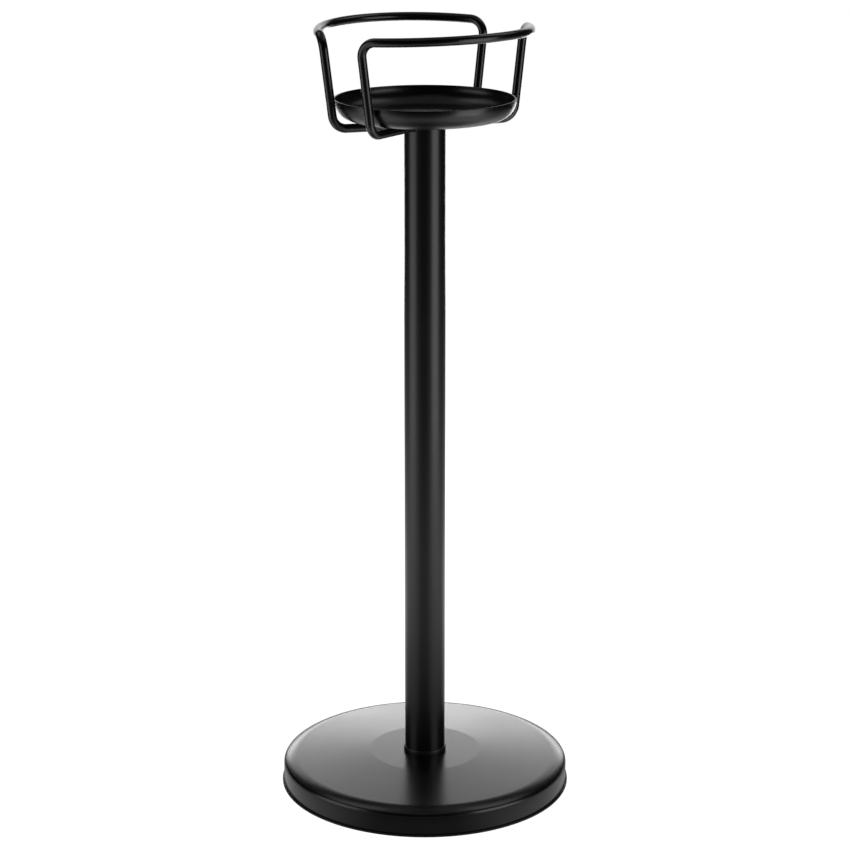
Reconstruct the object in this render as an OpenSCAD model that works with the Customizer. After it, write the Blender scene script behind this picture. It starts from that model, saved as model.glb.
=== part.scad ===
// Floor stand for a wine cooler: a weighted round base, a tubular pole, a shallow dish
// for the foot of the bucket, and two bent wire bails that hold the bucket upright.
// Millimetres, +Z up. The origin is the centre of the base where it meets the floor.
// The two bails face -Y (front) and +Y (rear), and the gaps between them face +X and -X.

/* [Base] */
// Diameter of the pressed steel base cover
base_d = 271.6; // [260:0.2:300]
// Height of the flat pad that the pole stands on
pad_h = 29.5; // [29.5:0.1:36]
// Diameter of that flat pad
pad_d = 105; // [80:1:140]
// Slope of the cover from the pad out to the shoulder, in degrees
crown_slope = 3; // [1:0.1:4]
// Diameter at which the shoulder starts to curve down
shoulder_d = 244; // [200:1:248]
// Slope at which the shoulder meets the rounded edge, in degrees
shoulder_slope = 30; // [20:1:36]
// Radius of the rounded edge
edge_r = 4.5; // [3:0.5:6]
// Sheet thickness of the cover
cover_t = 1.5; // [1:0.1:2]
// How far the rubber floor ring stands out past the cover
ring_lip = 1.6; // [0.5:0.1:2.5]
// Thickness of the rubber under the cover's edge
ring_sole = 1.8; // [1.5:0.1:3]

/* [Pole] */
// Outer diameter of the pole tube
pole_d = 38; // [32:1:42]
// Wall thickness of the pole tube
pole_t = 1.5; // [1:0.1:2]
// Outer diameter of the plastic collar round the pole's foot
collar_d = 40.4; // [39.5:0.1:46]
// Height of that collar
collar_h = 4.4; // [3:0.1:8]

/* [Dish] */
// Largest outer diameter of the dish
dish_d = 164.4; // [140:0.2:164.8]
// Height of the flat underside of the dish above the floor
dish_z = 640; // [639:0.5:642]
// Overall height of the dish, underside to rim
dish_h = 18.5; // [18:0.5:22]
// Outer radius of the curve from the flat floor to the wall
dish_corner_r = 17; // [12:0.5:17]
// Sheet thickness of the dish
dish_t = 1.5; // [1:0.1:1.8]

/* [Bails] */
// Wire diameter
wire_d = 8; // [6:0.5:8]
// Radius of the bent top wire, to its centreline
bail_r = 96.8; // [94:0.2:98]
// Height of the top wire's centreline, before the bail is tilted
bail_z = 716.6; // [700:0.2:740]
// Height of the centreline of the wires that run in to the pole
foot_z = 634.2; // [631:0.2:634.2]
// How far each leg leans outwards, in degrees, before the bail is tilted
leg_lean = 8.2; // [6:0.1:8.4]
// How far each bail is tilted inwards, in degrees, so that the middle of its top wire is higher
bail_tilt = 2.4; // [0:0.1:2.6]
// Angle between the middle of a bail and each of its legs
half_span = 71.5; // [60:0.5:74]
// Centreline radius of the bend at the top of a leg
top_bend_r = 13.6; // [10:0.2:18]
// Centreline radius of the bend at the bottom of a leg
low_bend_r = 13.4; // [12:0.2:18]
// Sideways lean of each bail as it is welded, in degrees
side_lean = 0.35; // [0:0.05:0.5]

/* [Hidden] */

eps = 0.01;
big_fn = 128;       // facets of large round parts
small_fn = 48;      // facets of wires and fasteners

// base cover
base_r = base_d / 2;
pad_r = pad_d / 2;
shoulder_r = shoulder_d / 2;
edge_start_r = base_r - edge_r + edge_r * sin(shoulder_slope);
bend_r = (edge_start_r - shoulder_r) / (sin(shoulder_slope) - sin(crown_slope));
crown_end = [shoulder_r, pad_h - (shoulder_r - pad_r) * tan(crown_slope)];
bend_c = crown_end - bend_r * [sin(crown_slope), cos(crown_slope)];
edge_c = bend_c + (bend_r - edge_r) * [sin(shoulder_slope), cos(shoulder_slope)];
spigot_r = 8;
spigot_play = 0.1;

// floor ring
ring_r = base_r + ring_lip;
ring_round = 0.6;
ring_width = 9;
ring_grip_t = 2.4;
ring_grip_h = 5;

// weight
weight_z = 2.6;
weight_h = 10;
weight_r = base_r - cover_t - ring_grip_t - 1;
boss_foot_r = 44;
boss_top_r = 32;
boss_top = pad_h - cover_t;
recess_r = 16.5;
recess_top = 17;
weight_chamfer = 1.5;

// fasteners under the base, M10
bolt_r = 5;
bolt_play = 0.1;
bolt_clearance = 0.5;
bolt_head_flats = 17;
bolt_head_h = 6.4;
bolt_head_chamfer = [2, 1.2];
bolt_length = 38;
washer_r = 15;
washer_t = 2.5;
washer_play = 0.25;
lock_play = 0.15;
lock_r = 9;
lock_t = 2.6;
lock_gap = 2;

// pole
pole_r = pole_d / 2;
bore_r = pole_r - pole_t;
collar_sole = 1;
collar_round = 0.7;
collar_hole_r = 12;
gasket_t = 1;
gasket_inset = 0.5;
pole_foot = pad_h + collar_sole;
pole_top = dish_z - gasket_t;
lower_plug_h = 26;
spigot_h = 8;
spigot_gap = 0.5;
upper_plug_h = 20;

// dish
dish_r = dish_d / 2;
floor_r = dish_r - dish_corner_r;
wall_top = dish_h - dish_t / 2;
dimple_depth = 5;
dimple_foot_r = 12;
dimple_top_r = 15;
dish_hole_r = 3.2;
screw_floor = dish_z - dimple_depth + dish_t;

// fasteners of the dish, M6
screw_r = 3;
screw_play = 0.1;
screw_head_r = 5.25;
screw_head_h = 3.3;
screw_dome_r = 6.2;
screw_length = 16;
screw_key = 4;
screw_key_depth = 2;
screw_lock_r = 5.1;
screw_lock_t = 1.6;
screw_lock_gap = 1.2;

// bails
wire_r = wire_d / 2;
sleeve_h = 0.4;
seam_turn = 20;     // turns the seams of touching round surfaces apart
cope_depth = 3;     // how far a wire runs into the pole before it is coped
cope_h = 40;
weld_leg = 1.4;
weld_reach = 2;
weld_toe = 1;

// Points of an arc round a centre; an angle of 0 points outwards and 90 points up.
function arc(centre, r, from, to, steps) =
    [for (i = [0:steps]) let (a = from + (to - from) * i / steps)
        centre + r * [cos(a), sin(a)]];

// A hexagonal prism given by its width across flats.
module hexagon(flats, h) {
    cylinder(r = flats / 2 / cos(30), h = h, $fn = 6);
}

// ---- base ----

module floor_ring() {
    grip_out = base_r - cover_t;
    color([0.03, 0.03, 0.03])
    rotate_extrude($fn = big_fn)
    polygon(concat(
        [[ring_r - ring_width, 0]],
        arc([ring_r - ring_round, ring_round], ring_round, -90, 0, 4),
        [[ring_r, ring_sole], [grip_out, ring_sole], [grip_out, ring_sole + ring_grip_h],
         [grip_out - ring_grip_t, ring_sole + ring_grip_h], [grip_out - ring_grip_t, ring_sole],
         [ring_r - ring_width, ring_sole]]));
}

module base_cover() {
    color([0.10, 0.10, 0.11])
    rotate_extrude($fn = big_fn)
    polygon(concat(
        [[spigot_r + spigot_play, pad_h], [pad_r, pad_h]],
        arc(bend_c, bend_r, 90 - crown_slope, 90 - shoulder_slope, 10),
        arc(edge_c, edge_r, 90 - shoulder_slope, 0, 6),
        [[base_r, ring_sole], [base_r - cover_t, ring_sole]],
        arc(edge_c, edge_r - cover_t, 0, 90 - shoulder_slope, 6),
        arc(bend_c, bend_r - cover_t, 90 - shoulder_slope, 90 - crown_slope, 10),
        [[pad_r, pad_h - cover_t], [spigot_r + spigot_play, pad_h - cover_t]]));
}

module base_weight() {
    top = weight_z + weight_h;
    color([0.25, 0.25, 0.26])
    difference() {
        rotate_extrude($fn = big_fn)
        polygon([[0, weight_z], [weight_r - weight_chamfer, weight_z],
                 [weight_r, weight_z + weight_chamfer], [weight_r, top - weight_chamfer],
                 [weight_r - weight_chamfer, top], [boss_foot_r, top], [boss_top_r, boss_top],
                 [0, boss_top]]);
        translate([0, 0, weight_z - 1])
        cylinder(r = recess_r, h = recess_top - weight_z + 1, $fn = big_fn);
        cylinder(r = bolt_r + bolt_clearance, h = pad_h, $fn = small_fn);
        translate([0, 0, pad_h - spigot_h])
        cylinder(r = spigot_r + spigot_play, h = spigot_h + 1, $fn = small_fn);
    }
}

module base_washer() {
    color([0.72, 0.73, 0.75])
    translate([0, 0, recess_top - washer_t])
    difference() {
        cylinder(r = washer_r, h = washer_t, $fn = small_fn);
        translate([0, 0, -1])
        cylinder(r = bolt_r + washer_play, h = washer_t + 2, $fn = small_fn);
    }
}

// A split lock washer, its gap facing +X.
module lock_washer(outer_r, bore, t, gap) {
    difference() {
        cylinder(r = outer_r, h = t, $fn = small_fn);
        translate([0, 0, -1])
        cylinder(r = bore, h = t + 2, $fn = small_fn);
        translate([0, -gap / 2, -1])
        cube([outer_r + 1, gap, t + 2]);
    }
}

module base_spring_washer() {
    color([0.55, 0.56, 0.58])
    translate([0, 0, recess_top - washer_t - lock_t])
    lock_washer(lock_r, bolt_r + lock_play, lock_t, lock_gap);
}

module base_bolt() {
    seat = recess_top - washer_t - lock_t;
    head_r = bolt_head_flats / 2;
    color([0.72, 0.73, 0.75])
    union() {
        translate([0, 0, seat - bolt_head_h])
        intersection() {
            hexagon(bolt_head_flats, bolt_head_h);
            // the turned chamfer round the head's outer face
            rotate_extrude($fn = small_fn)
            polygon([[0, 0], [head_r, 0], [head_r, 0] + bolt_head_chamfer,
                     [head_r + bolt_head_chamfer[0], bolt_head_h], [0, bolt_head_h]]);
        }
        translate([0, 0, seat - eps])
        cylinder(r = bolt_r, h = bolt_length + eps, $fn = small_fn);
    }
}

// ---- pole ----

module foot_collar() {
    color([0.04, 0.04, 0.04])
    translate([0, 0, pad_h])
    rotate_extrude($fn = big_fn)
    polygon(concat(
        [[collar_hole_r, 0], [collar_d / 2, 0]],
        arc([collar_d / 2 - collar_round, collar_h - collar_round], collar_round, 0, 90, 4),
        [[pole_r, collar_h], [pole_r, collar_sole], [collar_hole_r, collar_sole]]));
}

module pole_tube() {
    color([0.08, 0.08, 0.09])
    translate([0, 0, pole_foot])
    difference() {
        cylinder(r = pole_r, h = pole_top - pole_foot, $fn = big_fn);
        translate([0, 0, -1])
        cylinder(r = bore_r, h = pole_top - pole_foot + 2, $fn = big_fn);
    }
}

module lower_plug() {
    neck = pad_h - spigot_h;
    color([0.45, 0.46, 0.48])
    difference() {
        union() {
            translate([0, 0, pole_foot])
            cylinder(r = bore_r, h = lower_plug_h, $fn = big_fn);
            translate([0, 0, neck + spigot_gap])
            cylinder(r = spigot_r, h = pole_foot - neck, $fn = small_fn);
        }
        translate([0, 0, neck - 1])
        cylinder(r = bolt_r + bolt_play, h = pole_foot + lower_plug_h - neck + 2, $fn = small_fn);
    }
}

module upper_plug() {
    top = dish_z - dimple_depth;
    color([0.45, 0.46, 0.48])
    translate([0, 0, top - upper_plug_h])
    difference() {
        cylinder(r = bore_r, h = upper_plug_h, $fn = big_fn);
        translate([0, 0, -1])
        cylinder(r = screw_r + screw_play, h = upper_plug_h + 2, $fn = small_fn);
    }
}

// ---- bails ----

// A straight length of wire between two points, turned so that its seam meets no other seam.
module wire_run(a, b) {
    v = b - a;
    translate(a)
    rotate([0, acos(v[2] / norm(v)), atan2(v[1], v[0])])
    rotate([0, 0, 2 * seam_turn])
    cylinder(r = wire_r, h = norm(v), $fn = small_fn);
}

// A sleeve a hair wider than the wire. It overlaps the two lengths that meet at a point,
// so that they join into one solid.
module wire_joint(at, along) {
    translate(at)
    rotate([0, acos(along[2]), atan2(along[1], along[0])])
    rotate([0, 0, seam_turn])
    translate([0, 0, -sleeve_h / 2])
    cylinder(r = wire_r + eps, h = sleeve_h, $fn = small_fn);
}

// A bend of wire: it starts on the side out of the centre, sets off along ahead,
// and turns through an angle.
module wire_bend(centre, out, ahead, r, turn) {
    n = cross(out, ahead);
    multmatrix([[out[0], ahead[0], n[0], centre[0]],
                [out[1], ahead[1], n[1], centre[1]],
                [out[2], ahead[2], n[2], centre[2]]])
    rotate_extrude(angle = turn, $fn = big_fn)
    translate([r, 0])
    circle(r = wire_r, $fn = small_fn);
}

// The top bend joins the ring wire, level and tangent, to the leg, which lies in the
// vertical plane of its own angle. Its tangent length depends on its turn and the turn
// on where it starts, so both are found by stepping from a right angle.
function bend_start(turn, steps = 5) =
    let (reach = top_bend_r * tan(turn / 2), back = atan(reach / bail_r),
         next = acos(-sin(leg_lean) * sin(back)))
    steps == 0 ? [reach, back, turn] : bend_start(next, steps - 1);

top_bend = bend_start(90);
top_reach = top_bend[0];
ring_end = half_span - top_bend[1];
top_turn = top_bend[2];
leg_out = [cos(half_span), sin(half_span), 0];
leg_up = sin(leg_lean) * leg_out + [0, 0, cos(leg_lean)];
ring_ahead = [-sin(ring_end), cos(ring_end), 0];
top_corner = bail_r / cos(top_bend[1]) * leg_out + [0, 0, bail_z];
low_corner = (norm([top_corner[0], top_corner[1]]) - (bail_z - foot_z) * tan(leg_lean)) * leg_out
    + [0, 0, foot_z];
low_turn = 90 - leg_lean;
low_reach = low_bend_r * tan(low_turn / 2);

// Half of a bail, from the end of its ring wire to the pole's axis; the bail's middle is on +X.
module bail_side() {
    ring_point = top_corner - top_reach * ring_ahead;
    across = -leg_up - (-leg_up * ring_ahead) * ring_ahead;
    inwards = across / norm(across);
    run_start = low_corner - low_reach * leg_out;
    wire_bend(ring_point + top_bend_r * inwards, -inwards, ring_ahead, top_bend_r, top_turn);
    wire_run(low_corner + low_reach * leg_up, top_corner - top_reach * leg_up);
    wire_bend(run_start + [0, 0, low_bend_r], [0, 0, -1], leg_out, low_bend_r, low_turn);
    wire_run((pole_r - cope_depth) * leg_out + [0, 0, foot_z], run_start);
    wire_joint(ring_point, ring_ahead);
    wire_joint(top_corner - top_reach * leg_up, leg_up);
    wire_joint(low_corner + low_reach * leg_up, leg_up);
    wire_joint(run_start, leg_out);
}

// One bail, its middle on +X, tilted inwards, leaning sideways, and coped to the pole.
module bail(lean) {
    difference() {
        translate([0, 0, foot_z])
        rotate([lean, -bail_tilt, 0])
        translate([0, 0, -foot_z])
        union() {
            translate([0, 0, bail_z])
            rotate([0, 0, -ring_end])
            rotate_extrude(angle = 2 * ring_end, $fn = big_fn)
            translate([bail_r, 0])
            circle(r = wire_r, $fn = small_fn);
            bail_side();
            mirror([0, 1, 0])
            bail_side();
        }
        translate([0, 0, foot_z - cope_h / 2])
        cylinder(r = pole_r, h = cope_h, $fn = big_fn);
    }
}

module rear_bail() {
    color([0.07, 0.07, 0.08])
    rotate([0, 0, 90])
    bail(-side_lean);
}

module front_bail() {
    color([0.07, 0.07, 0.08])
    rotate([0, 0, -90])
    bail(side_lean);
}

// The fillet weld round each wire where it meets the pole, dressed flush with the pole's top.
module bail_welds() {
    outer_r = wire_r + weld_leg;
    color([0.07, 0.07, 0.08])
    for (bail_angle = [90, -90], side = [-1, 1])
        difference() {
            translate([0, 0, foot_z])
            rotate([-sign(bail_angle) * side_lean, -bail_tilt, bail_angle])
            rotate([0, 0, side * half_span])
            rotate([0, 90, 0])
            rotate_extrude($fn = small_fn)
            polygon([[wire_r, pole_r - cope_depth], [outer_r, pole_r - cope_depth],
                     [outer_r, pole_r - weld_toe], [wire_r + weld_leg / 3, pole_r + weld_reach / 3],
                     [wire_r, pole_r + weld_reach]]);
            translate([0, 0, foot_z - cope_h / 2])
            cylinder(r = pole_r, h = cope_h, $fn = big_fn);
            translate([0, 0, pole_top])
            cylinder(r = 2 * pole_r, h = cope_h, $fn = small_fn);
        }
}

// ---- dish ----

module dish_gasket() {
    color([0.03, 0.03, 0.03])
    translate([0, 0, pole_top])
    difference() {
        cylinder(r = pole_r, h = gasket_t, $fn = big_fn);
        translate([0, 0, -1])
        cylinder(r = bore_r - gasket_inset, h = gasket_t + 2, $fn = big_fn);
    }
}

module dish() {
    wall_c = [floor_r, dish_corner_r];
    rim_c = [dish_r - dish_t / 2, wall_top];
    color([0.08, 0.08, 0.09])
    translate([0, 0, dish_z])
    rotate_extrude($fn = big_fn)
    polygon(concat(
        [[dish_hole_r, -dimple_depth], [dimple_foot_r, -dimple_depth], [dimple_top_r, 0]],
        arc(wall_c, dish_corner_r, -90, 0, 14),
        arc(rim_c, dish_t / 2, 0, 180, 6),
        arc(wall_c, dish_corner_r - dish_t, 0, -90, 14),
        [[dimple_top_r + dish_t / 2, dish_t], [dimple_foot_r + dish_t / 2, dish_t - dimple_depth],
         [dish_hole_r, dish_t - dimple_depth]]));
}

module dish_spring_washer() {
    color([0.55, 0.56, 0.58])
    translate([0, 0, screw_floor])
    lock_washer(screw_lock_r, screw_r + lock_play, screw_lock_t, screw_lock_gap);
}

module dish_screw() {
    seat = screw_floor + screw_lock_t;
    // the domed head is a slice of a sphere with a flat top
    flat_r = screw_key * 0.75;
    dome_c = [0, screw_head_h - sqrt(pow(screw_dome_r, 2) - pow(flat_r, 2))];
    rim_angle = acos(screw_head_r / screw_dome_r);
    top_angle = acos(flat_r / screw_dome_r);
    color([0.20, 0.20, 0.21])
    difference() {
        union() {
            translate([0, 0, seat])
            rotate_extrude($fn = small_fn)
            polygon(concat([[0, 0], [screw_head_r, 0]],
                           arc(dome_c, screw_dome_r, rim_angle, top_angle, 6),
                           [[0, screw_head_h]]));
            translate([0, 0, seat - screw_length])
            cylinder(r = screw_r, h = screw_length + eps, $fn = small_fn);
        }
        translate([0, 0, seat + screw_head_h - screw_key_depth])
        hexagon(screw_key, screw_key_depth + 1);
    }
}

floor_ring();
base_weight();
base_cover();
base_bolt();
base_spring_washer();
base_washer();
foot_collar();
pole_tube();
lower_plug();
upper_plug();
rear_bail();
front_bail();
bail_welds();
dish_gasket();
dish();
dish_spring_washer();
dish_screw();
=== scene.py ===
"""The looks of the wine cooler stand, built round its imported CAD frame.

Metres, +Z up, origin on the floor under the pole. The two bails face -Y (front) and +Y (rear).
Every piece takes its place and size from its CAD node; what a box can't tell, such as a bend's
radius, is a named value here and equals the one in the CAD source.
"""
import math

import bmesh
import bpy
from mathutils import Matrix, Vector, noise


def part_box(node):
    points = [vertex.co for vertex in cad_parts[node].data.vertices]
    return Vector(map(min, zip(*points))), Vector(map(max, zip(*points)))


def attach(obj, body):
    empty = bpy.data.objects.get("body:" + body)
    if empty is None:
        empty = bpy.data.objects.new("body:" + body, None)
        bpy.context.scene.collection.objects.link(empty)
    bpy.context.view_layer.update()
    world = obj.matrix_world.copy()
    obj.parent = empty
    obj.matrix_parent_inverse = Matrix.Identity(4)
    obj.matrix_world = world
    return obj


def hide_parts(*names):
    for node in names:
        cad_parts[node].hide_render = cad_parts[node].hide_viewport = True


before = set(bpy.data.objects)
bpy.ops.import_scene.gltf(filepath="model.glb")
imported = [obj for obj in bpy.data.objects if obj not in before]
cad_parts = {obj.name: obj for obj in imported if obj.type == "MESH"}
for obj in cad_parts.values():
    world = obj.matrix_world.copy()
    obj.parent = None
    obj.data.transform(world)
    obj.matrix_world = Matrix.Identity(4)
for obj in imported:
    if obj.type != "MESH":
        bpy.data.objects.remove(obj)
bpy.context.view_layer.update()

MM = 0.001
UP = Vector((0, 0, 1))

# Camera, given in a frame turned by VIEW_TURN: to the right, towards the stand, and up.
VIEW_TURN = math.radians(-38.7)
CAMERA_PLACE = Vector((0.1, -2196.7, 979.4)) * MM
CAMERA_PITCH = math.radians(15.902)
CAMERA_LENS = 104.07
SENSOR = 36

# Sizes that the nodes' boxes don't give.
COVER_T = 1.5 * MM
PAD_R = 52.5 * MM
CROWN_SLOPE = math.radians(3)
SHOULDER_R = 122 * MM
SHOULDER_SLOPE = math.radians(30)
EDGE_R = 4.5 * MM
TUBE_T = 1.5 * MM
WIRE_R = 4 * MM
FOOT_Z = 634.2 * MM
LEG_LEAN = math.radians(8.2)
BAIL_TILT = math.radians(2.4)
SIDE_LEAN = math.radians(0.35)
HALF_SPAN = math.radians(71.5)
TOP_BEND_R = 13.6 * MM
LOW_BEND_R = 13.4 * MM
DISH_CORNER_R = 17 * MM
DISH_T = 1.5 * MM
DIMPLE_DEPTH = 5 * MM
SPIGOT_R = 8 * MM
SPIGOT_HOLE_R = 8.1 * MM
BOLT_R = 5 * MM
BOLT_FLATS = 17 * MM
BOLT_PITCH = 1.5 * MM
SCREW_R = 3 * MM
SCREW_KEY = 4 * MM
SCREW_PITCH = 1 * MM
THREAD_PLAY = 0.1 * MM

LOW, HIGH = 0, 1


def low(node):
    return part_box(node)[LOW]


def high(node):
    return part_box(node)[HIGH]


def width(node):
    """A round node's diameter."""
    return high(node).x - low(node).x


# ---- mesh tools ----

def arc(centre, radius, start, end, steps):
    """Points of an arc in the (radius, height) plane; angle 0 points outwards and 90 up."""
    turns = [math.radians(start + (end - start) * i / steps) for i in range(steps + 1)]
    return [(centre[0] + radius * math.cos(t), centre[1] + radius * math.sin(t)) for t in turns]


def rounded(corners, steps=5):
    """An outline from (x, y, fillet radius) corners, with each fillet as an arc."""
    points = []
    count = len(corners)
    for i, (x, y, fillet) in enumerate(corners):
        corner = Vector((x, y))
        if fillet <= 0:
            points.append((x, y))
            continue
        before = (Vector(corners[i - 1][:2]) - corner).normalized()
        after = (Vector(corners[(i + 1) % count][:2]) - corner).normalized()
        half = before.angle(after) / 2
        centre = corner + (before + after).normalized() * fillet / math.sin(half)
        first = corner + before * fillet / math.tan(half) - centre
        last = corner + after * fillet / math.tan(half) - centre
        sweep = first.angle_signed(last)
        for k in range(steps + 1):
            turned = Matrix.Rotation(-sweep * k / steps, 2) @ first
            points.append(tuple(centre + turned))
    return points


def grid_faces(rings, close_rings=False):
    """Quads between rings of vertex numbers; a ring of one repeated number is a point."""
    faces = []
    pairs = list(zip(rings, rings[1:]))
    if close_rings:
        pairs.append((rings[-1], rings[0]))
    for a, b in pairs:
        for j in range(len(a)):
            k = (j + 1) % len(a)
            face = list(dict.fromkeys([a[j], a[k], b[k], b[j]]))
            if len(face) > 2:
                faces.append(face)
    return faces


def lathe(outline, turns=192, shape=None):
    """Vertices and faces of a closed outline of (radius, height) points turned round Z.

    shape(radius, angle, height), where given, returns the radius to use: a thread or a hexagon.
    """
    verts, rings = [], []
    for radius, height in outline:
        start = len(verts)
        if radius < 1e-7:
            verts.append((0, 0, height))
            rings.append([start] * turns)
            continue
        for j in range(turns):
            a = math.tau * j / turns
            r = shape(radius, a, height) if shape else radius
            verts.append((r * math.cos(a), r * math.sin(a), height))
        rings.append(list(range(start, start + turns)))
    return verts, grid_faces(rings, close_rings=True)


def hexagon_radius(flats, angle):
    """Distance from the centre of a hexagon to its side, a corner lying at angle 0."""
    sixth = math.tau / 6
    return flats / 2 / math.cos(angle % sixth - sixth / 2)


THREAD_DEPTH = 0.61  # of the pitch


def thread_radius(radius, angle, height, pitch, start, stop):
    """Surface of a screw thread whose crests reach radius; it runs out at both ends."""
    phase = (height / pitch - angle / math.tau) % 1
    crest = min(1, max(0, 1.35 - 2.5 * abs(phase - 0.5)))
    fade = min(1, max(0, min(height - start, stop - height) / pitch))
    return radius - THREAD_DEPTH * pitch * (1 - crest) * fade


def steps_between(start, stop, step):
    """Heights from start to stop, close enough together to carry a thread."""
    count = max(1, round(abs(stop - start) / step))
    return [start + (stop - start) * i / count for i in range(count + 1)]


def tube_along(path, radius, sides=40):
    """Vertices and rings of a round bar that follows a path; the frame is carried along it."""
    verts, rings = [], []
    tangents = []
    for i in range(len(path)):
        ahead = path[min(i + 1, len(path) - 1)] - path[max(i - 1, 0)]
        tangents.append(ahead.normalized())
    side = tangents[0].orthogonal().normalized()
    for point, tangent in zip(path, tangents):
        side = (side - tangent * side.dot(tangent)).normalized()
        across = tangent.cross(side)
        start = len(verts)
        for j in range(sides):
            a = math.tau * j / sides
            verts.append(point + radius * (math.cos(a) * side + math.sin(a) * across))
        rings.append(list(range(start, start + sides)))
    return verts, rings


# ---- materials ----

class Nodes:
    """A material's node tree, with short calls for the nodes used here."""

    def __init__(self, name):
        self.material = bpy.data.materials.new(name)
        self.material.use_nodes = True
        self.tree = self.material.node_tree
        self.shader = self.tree.nodes["Principled BSDF"]
        self.place = self.tree.nodes.new("ShaderNodeTexCoord").outputs["Object"]

    def link(self, source, target):
        self.tree.links.new(source, target)

    def set(self, **values):
        for key, value in values.items():
            self.shader.inputs[key.replace("_", " ")].default_value = value

    def noise(self, scale, detail=2.0, roughness=0.5, place=None):
        node = self.tree.nodes.new("ShaderNodeTexNoise")
        node.inputs["Scale"].default_value = scale
        node.inputs["Detail"].default_value = detail
        node.inputs["Roughness"].default_value = roughness
        self.link(place or self.place, node.inputs["Vector"])
        return node.outputs["Fac"]

    def stretched(self, x, y, z):
        node = self.tree.nodes.new("ShaderNodeVectorMath")
        node.operation = "MULTIPLY"
        self.link(self.place, node.inputs[0])
        node.inputs[1].default_value = (x, y, z)
        return node.outputs["Vector"]

    def ramp(self, factor, stops):
        """stops are (position, colour or value) pairs."""
        node = self.tree.nodes.new("ShaderNodeValToRGB")
        elements = node.color_ramp.elements
        while len(elements) < len(stops):
            elements.new(0.5)
        for element, (position, value) in zip(elements, stops):
            element.position = position
            colour = value if hasattr(value, "__len__") else (value,) * 3
            element.color = (*colour, 1)
        self.link(factor, node.inputs["Fac"])
        return node.outputs["Color"]

    def spread(self, factor, lowest, highest):
        """Maps noise, which mostly lies between 0.3 and 0.7, to a range."""
        node = self.tree.nodes.new("ShaderNodeMapRange")
        node.inputs["From Min"].default_value = 0.3
        node.inputs["From Max"].default_value = 0.7
        node.inputs["To Min"].default_value = lowest
        node.inputs["To Max"].default_value = highest
        self.link(factor, node.inputs["Value"])
        return node.outputs["Result"]

    def bump(self, *layers):
        """layers are (height, depth in metres) pairs, each added to the one before."""
        normal = None
        for height, depth in layers:
            node = self.tree.nodes.new("ShaderNodeBump")
            node.inputs["Distance"].default_value = depth
            self.link(height, node.inputs["Height"])
            if normal:
                self.link(normal, node.inputs["Normal"])
            normal = node.outputs["Normal"]
        self.link(normal, self.shader.inputs["Normal"])


def powder_coat(name, roughness, peel):
    """Satin black powder coat: a fine orange peel, a slow change of gloss, and faint specks."""
    n = Nodes(name)
    n.set(Metallic=0.0, IOR=1.5)
    n.link(n.ramp(n.noise(35, 4), [(0.3, (0.0014, 0.0014, 0.0015)), (0.7, (0.0022, 0.0021, 0.0022))]),
           n.shader.inputs["Base Color"])
    n.link(n.spread(n.noise(18, 3), roughness - 0.02, roughness + 0.02), n.shader.inputs["Roughness"])
    n.bump((n.noise(420, 1), 0.000010 * peel), (n.noise(1700, 2), 0.0000035 * peel))
    return n.material


def moulded(name, colour, roughness, grain):
    """Rubber or plastic with a fine mould grain."""
    n = Nodes(name)
    n.set(Metallic=0.0, IOR=1.5)
    lighter = tuple(c * 1.5 for c in colour)
    n.link(n.ramp(n.noise(60, 4), [(0.3, colour), (0.7, lighter)]), n.shader.inputs["Base Color"])
    n.link(n.spread(n.noise(200, 2), roughness - 0.05, roughness + 0.05), n.shader.inputs["Roughness"])
    n.bump((n.noise(2500, 2), 0.00001 * grain))
    return n.material


def cast_iron(name):
    """Primed cast iron: sand grain, shallow hollows, and a mottled dark grey."""
    n = Nodes(name)
    n.set(Metallic=0.55, IOR=1.5)
    n.link(n.ramp(n.noise(90, 6, 0.6), [(0.3, (0.05, 0.05, 0.052)), (0.55, (0.09, 0.09, 0.095)),
                                        (0.75, (0.13, 0.115, 0.10))]), n.shader.inputs["Base Color"])
    n.link(n.spread(n.noise(300, 4), 0.5, 0.7), n.shader.inputs["Roughness"])
    n.bump((n.noise(120, 3), 0.0004), (n.noise(900, 4), 0.0002))
    return n.material


def turned_steel(name, colour, roughness, lines, depth):
    """Bare or plated steel with fine turning marks round Z."""
    n = Nodes(name)
    n.set(Metallic=1.0)
    darker = tuple(c * 0.82 for c in colour)
    marks = n.noise(1, 3, 0.6, n.stretched(40, 40, lines))
    n.link(n.ramp(n.noise(150, 4), [(0.3, darker), (0.7, colour)]), n.shader.inputs["Base Color"])
    n.link(n.spread(marks, roughness - 0.06, roughness + 0.06), n.shader.inputs["Roughness"])
    n.bump((marks, depth))
    return n.material


MATERIALS = {
    "base_paint": powder_coat("base_paint", 0.25, 1.0),
    "pole_paint": powder_coat("pole_paint", 0.30, 1.0),
    "wire_paint": powder_coat("wire_paint", 0.22, 1.0),
    "dish_paint": powder_coat("dish_paint", 0.28, 1.0),
    "rubber": moulded("rubber", (0.006, 0.006, 0.006), 0.6, 3),
    "collar_plastic": moulded("collar_plastic", (0.004, 0.004, 0.004), 0.35, 1),
    "cast_iron": cast_iron("cast_iron"),
    "plug_steel": turned_steel("plug_steel", (0.46, 0.47, 0.48), 0.34, 5000, 0.00002),
    "zinc_plate": turned_steel("zinc_plate", (0.62, 0.64, 0.68), 0.30, 2500, 0.00001),
    "spring_steel": turned_steel("spring_steel", (0.33, 0.34, 0.36), 0.36, 2500, 0.00001),
    "black_screw": powder_coat("black_screw", 0.36, 0.6),
}


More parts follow.
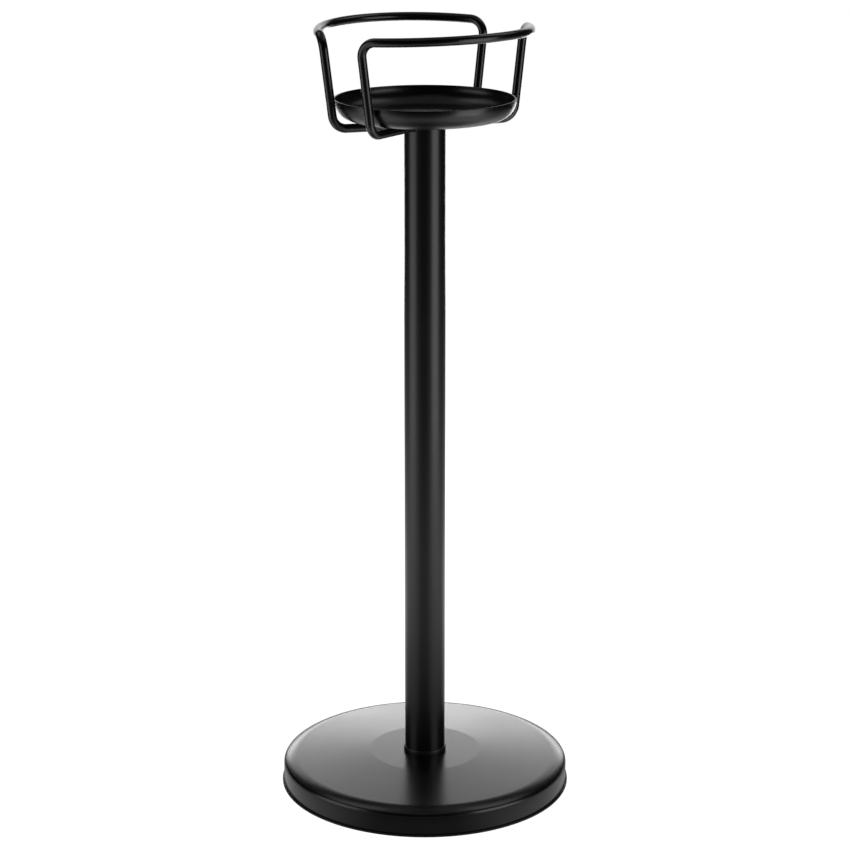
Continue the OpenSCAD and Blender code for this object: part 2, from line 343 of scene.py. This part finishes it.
def make(name, node, shape, slot, crease=35):
    """Makes a piece from its vertices and faces, smooth but for creases, in place of its CAD node."""
    verts, faces = shape
    mesh = bpy.data.meshes.new(name)
    mesh.from_pydata([tuple(v) for v in verts], [], faces)
    work = bmesh.new()
    work.from_mesh(mesh)
    bmesh.ops.remove_doubles(work, verts=work.verts, dist=1e-7)
    bmesh.ops.recalc_face_normals(work, faces=work.faces)
    work.to_mesh(mesh)
    work.free()
    mesh.shade_smooth()
    mesh.set_sharp_from_angle(angle=math.radians(crease))
    mesh.materials.append(MATERIALS[slot])
    piece = bpy.data.objects.new(name, mesh)
    bpy.context.scene.collection.objects.link(piece)
    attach(piece, "root")
    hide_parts(node)


# ---- base ----

def base_cover():
    """Pressed cover: pad, shallow crown, shoulder, rounded edge, and a rolled hem at its foot."""
    radius, pad_h, foot = width("base_cover") / 2, high("base_cover").z, low("base_cover").z
    edge_start = radius - EDGE_R + EDGE_R * math.sin(SHOULDER_SLOPE)
    bend_r = (edge_start - SHOULDER_R) / (math.sin(SHOULDER_SLOPE) - math.sin(CROWN_SLOPE))
    crown_end = pad_h - (SHOULDER_R - PAD_R) * math.tan(CROWN_SLOPE)
    bend = (SHOULDER_R - bend_r * math.sin(CROWN_SLOPE), crown_end - bend_r * math.cos(CROWN_SLOPE))
    edge = (radius - EDGE_R, bend[1] + (bend_r - EDGE_R) * math.cos(SHOULDER_SLOPE))
    start, end = 90 - math.degrees(CROWN_SLOPE), 90 - math.degrees(SHOULDER_SLOPE)
    hem = COVER_T / 2
    outside = arc(bend, bend_r, start, end, 24) + arc(edge, EDGE_R, end, 0, 16)[1:]
    inside = arc(edge, EDGE_R - COVER_T, 0, end, 12)
    inside += arc(bend, bend_r - COVER_T, end, start, 24)[1:]
    inner_pad = [(PAD_R, pad_h - COVER_T), (SPIGOT_HOLE_R, pad_h - COVER_T)]
    outer_pad = [(SPIGOT_HOLE_R, pad_h), (PAD_R - 1 * MM, pad_h), (PAD_R, pad_h - 0.01 * MM)]
    crown = [(PAD_R + 1 * MM, pad_h - 0.05 * MM)]
    rolled = arc((radius - hem, foot + hem), hem, 0, -180, 10)
    return inner_pad + outer_pad + crown + outside + rolled + inside


def floor_ring():
    """Rubber ring: a flat sole with two shallow grooves, a rounded lip, and a gripping wall."""
    outer, top, sole = width("floor_ring") / 2, high("floor_ring").z, low("base_cover").z
    inner, grip_out = outer - 9 * MM, width("base_cover") / 2 - COVER_T
    grip_in = grip_out - 2.4 * MM
    groove_w, groove_h = 1.1 * MM, 0.5 * MM
    corners = [(inner, 0, 0.4 * MM)]
    for start in (outer - 6.6 * MM, outer - 3.8 * MM):
        corners += [(start, 0, 0), (start, groove_h, 0.2 * MM),
                    (start + groove_w, groove_h, 0.2 * MM), (start + groove_w, 0, 0)]
    corners += [(outer, 0, 0.6 * MM), (outer, sole, 0.25 * MM), (grip_out, sole, 0),
                (grip_out, top, 0.4 * MM), (grip_in, top, 0.4 * MM), (grip_in, sole, 0.3 * MM),
                (inner, sole, 0.4 * MM)]
    return rounded(corners)


def base_weight():
    """Cast disc with a boss under the pole and a recess for the bolt's head."""
    foot, top, rim = low("base_weight").z, high("base_weight").z, width("base_weight") / 2
    recess_r, recess_top = 16.5 * MM, high("base_washer").z
    disc_top, neck = foot + 10 * MM, low("lower_plug").z - 0.5 * MM
    return rounded([
        (recess_r, foot, 0.8 * MM), (rim, foot, 1.8 * MM), (rim, disc_top, 1.8 * MM),
        (44 * MM, disc_top, 4 * MM), (32 * MM, top, 2 * MM), (SPIGOT_HOLE_R, top, 0.4 * MM),
        (SPIGOT_HOLE_R, neck, 0), (BOLT_R + 0.5 * MM, neck, 0.2 * MM),
        (BOLT_R + 0.5 * MM, recess_top, 0.2 * MM), (recess_r, recess_top, 0.6 * MM)])


def base_bolt():
    """Hexagon-head bolt: chamfered head, then a shank whose upper part is threaded."""
    foot, top, seat = low("base_bolt").z, high("base_bolt").z, low("base_spring_washer").z
    start, stop = seat + 11 * MM, top - 0.8 * MM
    face_r, skirt = BOLT_FLATS / 2, 1.2 * MM
    chamfer = [(face_r + 2 * MM * i / 6, foot + skirt * i / 6) for i in range(7)]
    shank = [(BOLT_R, z) for z in steps_between(start, stop, BOLT_PITCH / 8)]
    outline = [(0, foot), (face_r * 0.93, foot)] + chamfer
    outline += [(face_r + 2 * MM, seat), (BOLT_R, seat)] + shank + [(BOLT_R * 0.82, top), (0, top)]

    def shape(radius, angle, height):
        if height <= seat and radius > BOLT_R:
            return min(radius, hexagon_radius(BOLT_FLATS, angle))
        if start < height < stop:
            return thread_radius(radius, angle, height, BOLT_PITCH, start, stop)
        return radius

    return lathe(outline, 96, shape)


def flat_washer():
    """Large flat washer between the split washer and the weight."""
    foot, top, rim = low("base_washer").z, high("base_washer").z, width("base_washer") / 2
    bore = BOLT_R + 0.25 * MM
    return rounded([(bore, foot, 0.2 * MM), (rim, foot, 0.5 * MM), (rim, top, 0.3 * MM),
                    (bore, top, 0.2 * MM)])


def split_washer(node, bore, gap):
    """Lock washer whose ends are cut on a slant, the gap facing +X."""
    foot, top, rim = low(node).z, high(node).z, high(node).y
    section = rounded([(bore, foot, 0.15 * MM), (rim, foot, 0.15 * MM), (rim, top, 0.15 * MM),
                       (bore, top, 0.15 * MM)], 3)
    slant = gap / rim
    verts, rings, count = [], [], 96
    for i in range(count + 1):
        start = len(verts)
        for radius, height in section:
            lean = slant * ((height - foot) / (top - foot) - 0.5)
            a = slant + lean + (math.tau - 2 * slant) * i / count
            verts.append((radius * math.cos(a), radius * math.sin(a), height))
        rings.append(list(range(start, start + len(section))))
    return verts, grid_faces(rings) + [rings[0][::-1], rings[-1]]


def foot_collar():
    """Plastic collar: a floor that the tube stands on, and a low wall round it."""
    foot, top, rim = low("foot_collar").z, high("foot_collar").z, width("foot_collar") / 2
    pole_foot, pole_r = low("pole_tube").z, width("pole_tube") / 2
    bore = 12 * MM
    return rounded([(bore, foot, 0.2 * MM), (rim, foot, 0.2 * MM), (rim, top, 0.7 * MM),
                    (pole_r, top, 0.15 * MM), (pole_r, pole_foot, 0), (bore, pole_foot, 0.2 * MM)])


def build_base():
    make("cover_shell", "base_cover", lathe(base_cover(), 288), "base_paint", 50)
    make("rubber_ring", "floor_ring", lathe(floor_ring(), 288), "rubber", 50)
    make("iron_weight", "base_weight", lathe(base_weight(), 192), "cast_iron", 50)
    make("hex_bolt", "base_bolt", base_bolt(), "zinc_plate")
    make("flat_washer", "base_washer", lathe(flat_washer(), 96), "zinc_plate", 50)
    washer = split_washer("base_spring_washer", BOLT_R + 0.15 * MM, 2 * MM)
    make("bolt_split_washer", "base_spring_washer", washer, "spring_steel", 50)
    make("collar_moulding", "foot_collar", lathe(foot_collar(), 160), "collar_plastic", 50)


# ---- pole ----

def pole_tube():
    """Tube with eased ends, in rings close enough together for even shading."""
    foot, top, outer = low("pole_tube").z, high("pole_tube").z, width("pole_tube") / 2
    bore, ease = outer - TUBE_T, 0.3 * MM
    corners = rounded([(bore, foot, ease), (outer, foot, ease), (outer, top, ease), (bore, top, ease)])
    cut = len(corners) // 2
    rise = [(outer, z) for z in steps_between(foot + 5 * MM, top - 5 * MM, 40 * MM)]
    return corners[:cut] + rise + corners[cut:] + [(bore, z) for _, z in rise[::-1]]


def plug(node, bore, pitch, spigot_r=0.0):
    """Turned plug with a threaded bore and, at the pole's foot, a spigot under it."""
    foot, top, rim = low(node).z, high(node).z, width(node) / 2
    shoulder = low("pole_tube").z if spigot_r else foot
    ease = 0.5 * MM
    start, stop = foot + ease, top - ease
    outline = [(bore + ease, foot)]
    if spigot_r:
        outline += [(spigot_r - ease, foot), (spigot_r, foot + ease), (spigot_r, shoulder)]
    outline += [(rim - ease, shoulder), (rim, shoulder + ease), (rim, top - ease), (rim - ease, top)]
    outline += [(bore + ease, top)] + [(bore, z) for z in steps_between(stop, start, pitch / 8)]

    def shape(radius, angle, height):
        if radius > bore:
            return radius
        return thread_radius(radius, angle, height, pitch, start, stop)

    return lathe(outline, 96, shape)


def build_pole():
    make("pole_shell", "pole_tube", lathe(pole_tube(), 192), "pole_paint", 50)
    foot = plug("lower_plug", BOLT_R + THREAD_PLAY, BOLT_PITCH, SPIGOT_R)
    make("threaded_foot", "lower_plug", foot, "plug_steel")
    head = plug("upper_plug", SCREW_R + THREAD_PLAY, SCREW_PITCH)
    make("threaded_head", "upper_plug", head, "plug_steel")


# ---- bails ----

BEND_STEPS = 20


def bend(centre, out, ahead, radius, turn):
    """Points of a bend in a wire, from the side out of its centre and setting off along ahead."""
    turns = [turn * i / BEND_STEPS for i in range(BEND_STEPS + 1)]
    return [centre + radius * (math.cos(t) * out + math.sin(t) * ahead) for t in turns]


def bail_path(ring_r, ring_z, foot_z):
    """Centreline of a bail whose middle is on +X, from one foot round to the other.

    The top bend joins the level ring wire to a leg that leans outwards in the plane of its own
    angle. Its turn and where it starts depend on each other, so both are found by stepping.
    """
    turn = math.pi / 2
    for _ in range(6):
        reach = TOP_BEND_R * math.tan(turn / 2)
        back = math.atan(reach / ring_r)
        turn = math.acos(-math.sin(LEG_LEAN) * math.sin(back))
    ring_end = HALF_SPAN - back
    out = Vector((math.cos(HALF_SPAN), math.sin(HALF_SPAN), 0))
    leg_up = math.sin(LEG_LEAN) * out + math.cos(LEG_LEAN) * UP
    ahead = Vector((-math.sin(ring_end), math.cos(ring_end), 0))
    corner = ring_r / math.cos(back) * out + ring_z * UP
    corner_r = ring_r / math.cos(back) - (ring_z - foot_z) * math.tan(LEG_LEAN)
    low_corner = corner_r * out + foot_z * UP
    low_turn = math.pi / 2 - LEG_LEAN
    low_reach = LOW_BEND_R * math.tan(low_turn / 2)
    ring_point = corner - reach * ahead
    inwards = (-leg_up - (-leg_up).dot(ahead) * ahead).normalized()
    run_start = low_corner - low_reach * out
    leg_top, leg_foot = corner - reach * leg_up, low_corner + low_reach * leg_up
    low_bend = bend(run_start + LOW_BEND_R * UP, -UP, out, LOW_BEND_R, low_turn)
    ring_steps = [ring_end * i / 44 for i in range(44)]
    half = [ring_r * Vector((math.cos(a), math.sin(a), 0)) + ring_z * UP for a in ring_steps]
    half += bend(ring_point + TOP_BEND_R * inwards, -inwards, ahead, TOP_BEND_R, turn)
    half += [leg_top.lerp(leg_foot, i / 8) for i in range(1, 8)]
    half += low_bend[::-1]
    foot = width("pole_tube") / 2 * out + foot_z * UP
    half += [run_start.lerp(foot, i / 6) for i in range(1, 7)]
    other = [Vector((p.x, -p.y, p.z)) for p in half[:0:-1]]
    return other + half


def bail_turn(node):
    """How a bail stands: tilted inwards and leaning sideways, the rear one facing +Y."""
    lean, facing = (-SIDE_LEAN, math.pi / 2) if node == "rear_bail" else (SIDE_LEAN, -math.pi / 2)
    pivot = Matrix.Translation(FOOT_Z * UP)
    tilt = Matrix.Rotation(-BAIL_TILT, 4, "Y") @ Matrix.Rotation(lean, 4, "X")
    return Matrix.Rotation(facing, 4, "Z") @ pivot @ tilt @ pivot.inverted()


def ring_size():
    """Radius and height of the ring wire's centreline before the tilt, from the rear bail's box."""
    reach, rise = high("rear_bail").y - WIRE_R, high("rear_bail").z - WIRE_R - FOOT_Z
    c, s = math.cos(BAIL_TILT), math.sin(BAIL_TILT)
    return reach * c + rise * s, FOOT_Z + rise * c - reach * s


def onto_pole(point, along, radius):
    """Slides a point along a direction until it is at that distance from the pole's axis."""
    a = along.x ** 2 + along.y ** 2
    b = point.x * along.x + point.y * along.y
    c = point.x ** 2 + point.y ** 2 - radius ** 2
    return point + along * (-b + math.sqrt(b * b - a * c)) / a


def bail(node):
    """Bent wire whose ends are coped to the pole."""
    turn = bail_turn(node)
    path = [turn @ p for p in bail_path(*ring_size(), FOOT_Z)]
    verts, rings = tube_along(path, WIRE_R)
    faces = grid_faces(rings)
    buried = width("pole_tube") / 2 - 0.1 * MM
    for ring, end, inner in ((rings[0], 0, 1), (rings[-1], -1, -2)):
        outwards = (path[inner] - path[end]).normalized()
        for v in ring:
            verts[v] = onto_pole(verts[v], outwards, buried)
        verts.append(onto_pole(path[end], outwards, buried))
        faces += [[ring[j], ring[(j + 1) % len(ring)], len(verts) - 1] for j in range(len(ring))]
    return verts, faces


def bail_welds():
    """Weld beads: round each wire's foot, a fillet with the ripples of the passes."""
    pole_r, pole_top = width("pole_tube") / 2, high("pole_tube").z
    steps, across, ripples, leg = 168, 10, 21, 1.3 * MM
    verts, faces = [], []
    for node in ("rear_bail", "front_bail"):
        turn = bail_turn(node)
        for side in (-1, 1):
            out = Vector((math.cos(HALF_SPAN), side * math.sin(HALF_SPAN), 0))
            along = (turn.to_3x3() @ out).normalized()
            foot = turn @ (FOOT_Z * UP)
            level = along.cross(UP).normalized()
            rise = level.cross(along)
            rings = []
            for i in range(steps):
                a = math.tau * i / steps
                ray = math.cos(a) * level + math.sin(a) * rise
                room = (pole_top - foot.z) / max(abs(math.sin(a)), 0.01) - WIRE_R
                reach = min(leg, max(room, 0.9 * MM)) if math.sin(a) > 0 else leg
                ripple = abs(math.sin(ripples * a / 2 + 0.7 * math.sin(2 * a)))
                unsteady = noise.noise(Vector((math.cos(a), math.sin(a), 3 * side + turn[0][1])) * 2.3)
                swell = 0.10 * ripple + 0.08 * unsteady
                start = len(verts)
                for k in range(across + 1):
                    t = math.pi / 2 * k / across
                    bulge = 1 + swell * math.sin(2 * t)
                    off = WIRE_R + reach * (1 - math.cos(t)) * bulge - 0.05 * MM
                    lift = leg * (1 - math.sin(t)) * bulge
                    at_pole = onto_pole(foot + ray * off, along, pole_r - 0.05 * MM)
                    verts.append(at_pole + along * lift)
                inner = onto_pole(foot + ray * (WIRE_R - 0.15 * MM), along, pole_r - 0.2 * MM)
                verts.append(inner)
                rings.append(list(range(start, len(verts))))
            faces += grid_faces(rings, close_rings=True)
    return verts, faces


def build_bails():
    for name, node in (("rear_wire", "rear_bail"), ("front_wire", "front_bail")):
        make(name, node, bail(node), "wire_paint", 60)
    make("weld_beads", "bail_welds", bail_welds(), "wire_paint", 60)


# ---- dish ----

def dish_gasket():
    """Thin soft washer between the tube's top and the dish."""
    foot, top, rim = low("dish_gasket").z, high("dish_gasket").z, width("dish_gasket") / 2
    bore = rim - 2 * MM
    return rounded([(bore, foot, 0.2 * MM), (rim, foot, 0.25 * MM), (rim, top, 0.25 * MM),
                    (bore, top, 0.2 * MM)])


def dish():
    """Pressed dish with a rounded rim, and a dimple that sinks the screw below its floor."""
    rim_r, rim_top = width("dish") / 2, high("dish").z
    under = low("dish").z + DIMPLE_DEPTH
    corner = (rim_r - DISH_CORNER_R, under + DISH_CORNER_R)
    half = DISH_T / 2
    hole = SCREW_R + 0.2 * MM
    outer = [(hole, under - DIMPLE_DEPTH, 0), (12 * MM, under - DIMPLE_DEPTH, 1 * MM),
             (15 * MM, under, 1.5 * MM), (corner[0] - 5 * MM, under, 0)]
    inner = [(corner[0] - 5 * MM, under + DISH_T, 0), (15 * MM + half, under + DISH_T, 2 * MM),
             (12 * MM + half, under - DIMPLE_DEPTH + DISH_T, 0.8 * MM),
             (hole, under - DIMPLE_DEPTH + DISH_T, 0)]
    path = rounded(outer + inner, 6)
    cut = next(i for i, p in enumerate(path) if p == inner[0][:2])
    wall = arc(corner, DISH_CORNER_R, -90, 0, 24)
    wall += arc((rim_r - half, rim_top - half), half, 0, 180, 12)
    wall += arc(corner, DISH_CORNER_R - DISH_T, 0, -90, 24)
    return path[:cut] + wall + path[cut:]


def dish_screw():
    """Button-head screw with a hexagon socket and a threaded shank."""
    foot, top, seat = low("dish_screw").z, high("dish_screw").z, high("dish_spring_washer").z
    head_r, dome_r = width("dish_screw") / 2, 6.2 * MM
    flat_r, floor = 0.75 * SCREW_KEY, top - 2 * MM
    dome = (0, top - math.sqrt(dome_r ** 2 - flat_r ** 2))
    start, stop = foot + 0.5 * MM, seat - 1 * MM
    shank = [(SCREW_R, z) for z in steps_between(stop, start, SCREW_PITCH / 8)]
    socket_r = SCREW_KEY / 2 / math.cos(math.pi / 6)
    rim, crest = math.degrees(math.acos(head_r / dome_r)), math.degrees(math.acos(flat_r / dome_r))
    outline = [(0, floor - 0.6 * MM), (socket_r * 0.8, floor), (socket_r, floor), (socket_r, top)]
    outline += arc(dome, dome_r, crest, rim, 12) + [(head_r, seat), (SCREW_R, seat)]
    outline += shank + [(SCREW_R * 0.8, foot), (0, foot)]

    def shape(radius, angle, height):
        if height > seat and radius <= socket_r:
            return radius / socket_r * hexagon_radius(SCREW_KEY, angle)
        if start < height < stop:
            return thread_radius(radius, angle, height, SCREW_PITCH, start, stop)
        return radius

    return lathe(outline, 96, shape)


def build_dish():
    make("gasket_disc", "dish_gasket", lathe(dish_gasket(), 160), "rubber", 50)
    make("pressed_dish", "dish", lathe(dish(), 256), "dish_paint", 60)
    washer = split_washer("dish_spring_washer", SCREW_R + 0.15 * MM, 1.2 * MM)
    make("screw_split_washer", "dish_spring_washer", washer, "spring_steel", 50)
    make("button_head_screw", "dish_screw", dish_screw(), "black_screw")


# ---- camera, floor and light ----

def turned(x, y, z):
    """A place given in the camera's own turn: right, away, up."""
    return Matrix.Rotation(VIEW_TURN, 3, "Z") @ Vector((x, y, z))


def build_camera():
    """A long lens a little above the bails, looking down at the stand."""
    data = bpy.data.cameras.new("camera")
    data.lens, data.sensor_width = CAMERA_LENS, SENSOR
    data.clip_start, data.clip_end = 0.05, 100
    camera = bpy.data.objects.new("camera", data)
    camera.location = turned(*CAMERA_PLACE)
    camera.rotation_euler = (math.pi / 2 - CAMERA_PITCH, 0, VIEW_TURN)
    bpy.context.scene.collection.objects.link(camera)
    bpy.context.scene.camera = camera


def panel(name, radiance, size, place, target):
    """A soft light of a given brightness that faces target and isn't seen itself."""
    data = bpy.data.lights.new(name, "AREA")
    data.shape, data.size, data.size_y = "RECTANGLE", *size
    data.energy = radiance * math.pi * size[0] * size[1]
    light = bpy.data.objects.new(name, data)
    light.location = place
    light.rotation_euler = (Vector(target) - Vector(place)).to_track_quat("-Z", "Y").to_euler()
    light.visible_camera = False
    bpy.context.scene.collection.objects.link(light)


def around(angle, distance, height):
    """A place round the stand; angle 0 is the camera's side and 90 its right."""
    a = math.radians(angle)
    return turned(distance * math.sin(a), -distance * math.cos(a), height)


def disc(name, radius, height, material):
    """A flat round sheet."""
    mesh = bpy.data.meshes.new(name)
    work = bmesh.new()
    bmesh.ops.create_circle(work, cap_ends=True, segments=96, radius=radius)
    work.to_mesh(mesh)
    work.free()
    mesh.transform(Matrix.Translation(height * UP))
    mesh.materials.append(material)
    sheet = bpy.data.objects.new(name, mesh)
    bpy.context.scene.collection.objects.link(sheet)
    return sheet


def floor_material():
    """Pale floor that gives off its own even white, as a lit sweep does."""
    n = Nodes("floor_white")
    n.set(Roughness=0.9, Base_Color=(0.30, 0.30, 0.30, 1))
    n.shader.inputs["Emission Color"].default_value = (1, 1, 1, 1)
    n.shader.inputs["Emission Strength"].default_value = 1.0
    n.shader.inputs["Specular IOR Level"].default_value = 0
    return n.material


# The table that the stand mirrors glows with painted light, not with light that falls on it:
# a painted pool of light round the stand, brighter towards the two strips and behind, and
# painted shade in a ring close to the stand. Each glow is a list of (distance over TABLE_R,
# radiance): all round, towards the two strips, and behind. SIDE_LOBES are (angle, share) of the
# strips' glow, angle 0 being the camera's side and 90 its right. A reach is the cosine of the
# angle off that direction at which the glow is gone, then of the one within which it is full.
TABLE_R = 2.2
GLOW_AROUND = [(0.075, 0.17), (0.095, 0.05), (0.14, 0.17), (0.25, 0.72), (0.45, 0.2), (0.9, 0.04)]
GLOW_SIDES = [(0.07, 0.42), (0.10, 0.26), (0.14, 0.30), (0.25, 0.48), (0.45, 0.95), (0.9, 0.1)]
GLOW_BEHIND = [(0.06, 0.5), (0.13, 0.5), (0.24, 0.6), (0.45, 0.4), (0.9, 0.1)]
SIDE_LOBES = [(-70, 0.95), (62, 1.0)]
SIDE_REACH = (math.cos(math.radians(50)), math.cos(math.radians(8)))
BACK_REACH = (math.cos(math.radians(85)), math.cos(math.radians(20)))


def painted_table_light_material():
    """Painted light of the table that the stand mirrors: an emitting sheet whose radiance paints pools
    of light round the stand and shade close to it.
    """
    n = Nodes("painted_table_light")
    n.tree.nodes.remove(n.shader)

    def vector(operation, *inputs):
        node = n.tree.nodes.new("ShaderNodeVectorMath")
        node.operation = operation
        for socket, value in zip(node.inputs, inputs):
            if isinstance(value, tuple):
                socket.default_value = value
            else:
                n.link(value, socket)
        return node.outputs["Value" if operation in ("LENGTH", "DOT_PRODUCT") else "Vector"]

    def maths(operation, *inputs):
        node = n.tree.nodes.new("ShaderNodeMath")
        node.operation = operation
        for socket, value in zip(node.inputs, inputs):
            if isinstance(value, (int, float)):
                socket.default_value = value
            else:
                n.link(value, socket)
        return node.outputs["Value"]

    def towards(angle, reach):
        a = math.radians(angle)
        facing = vector("DOT_PRODUCT", way, (math.sin(a), -math.cos(a), 0.0))
        node = n.tree.nodes.new("ShaderNodeMapRange")
        node.interpolation_type = "SMOOTHSTEP"
        node.inputs["From Min"].default_value, node.inputs["From Max"].default_value = reach
        n.link(facing, node.inputs["Value"])
        return node.outputs["Result"]

    # The ramps below paint the pools of light and the shade near the stand as radiance.
    way = vector("NORMALIZE", n.place)
    distance = maths("MULTIPLY", vector("LENGTH", n.place), 1 / TABLE_R)
    glow = n.ramp(distance, GLOW_AROUND)
    sides = n.ramp(distance, GLOW_SIDES)
    for angle, share in SIDE_LOBES:
        glow = maths("MULTIPLY_ADD", sides, maths("MULTIPLY", towards(angle, SIDE_REACH), share), glow)
    glow = maths("MULTIPLY_ADD", n.ramp(distance, GLOW_BEHIND), towards(180, BACK_REACH), glow)
    light = n.tree.nodes.new("ShaderNodeEmission")
    n.link(glow, light.inputs["Strength"])
    n.link(light.outputs["Emission"], n.tree.nodes["Material Output"].inputs["Surface"])
    return n.material


# Each soft light's name, radiance, size, the angle at which it stands round the stand, its
# distance and height there, and those of the point that it faces.
SOFT_LIGHTS = [
    ("backdrop", 1.25, (2.8, 1.7), 180, (2.6, 1.15), (0, 1.15)),
    ("low_backdrop", 3.8, (1.3, 0.25), 180, (1.25, 0.325), (0, 0.325)),
    ("left_strip", 1.35, (0.8, 1.1), -70, (1.15, 0.45), (0, 0.45)),
    ("right_strip", 1.9, (0.8, 1.1), 58, (1.15, 0.45), (0, 0.45)),
    ("left_overhead", 0.8, (0.7, 0.7), -118, (0.85, 1.6), (0, 0.1)),
    ("right_overhead", 0.9, (0.7, 0.7), 118, (0.85, 1.6), (0, 0.1)),
    ("ceiling", 0.22, (2.6, 2.2), 180, (0.3, 2.3), (0.3, 0)),
]
DIM_STUDIO = 0.022


def build_stage():
    """The floor is what the camera sees; the table, a sheet of painted light, and the soft lights are
    what the stand mirrors.
    """
    floor = disc("floor", 30, 0, floor_material())
    floor.visible_glossy = False
    floor.visible_diffuse = False
    # A sheet glowing with painted light, which only the stand's reflections see.
    table = disc("table", TABLE_R, -0.002, painted_table_light_material())
    table.rotation_euler = (0, 0, VIEW_TURN)
    table.visible_camera = False
    build_world()
    for name, radiance, size, angle, place, target in SOFT_LIGHTS:
        panel(name, radiance, size, around(angle, *place), around(angle, *target))


def build_world():
    """Dim studio all round for the stand, with a white background behind the pale floor."""
    world = bpy.data.worlds.new("studio")
    bpy.context.scene.world = world
    world.use_nodes = True
    tree = world.node_tree
    dim = tree.nodes["Background"]
    dim.inputs["Color"].default_value = (DIM_STUDIO, DIM_STUDIO, DIM_STUDIO, 1)
    white = tree.nodes.new("ShaderNodeBackground")
    white.inputs["Color"].default_value = (1, 1, 1, 1)
    seen = tree.nodes.new("ShaderNodeLightPath").outputs["Is Camera Ray"]
    mix = tree.nodes.new("ShaderNodeMixShader")
    tree.links.new(seen, mix.inputs["Fac"])
    tree.links.new(dim.outputs["Background"], mix.inputs[1])
    tree.links.new(white.outputs["Background"], mix.inputs[2])
    tree.links.new(mix.outputs["Shader"], tree.nodes["World Output"].inputs["Surface"])


bpy.context.scene.view_settings.view_transform = "Standard"
bpy.context.scene.cycles.use_denoising = True

build_base()
build_pole()
build_bails()
build_dish()
build_camera()
build_stage()
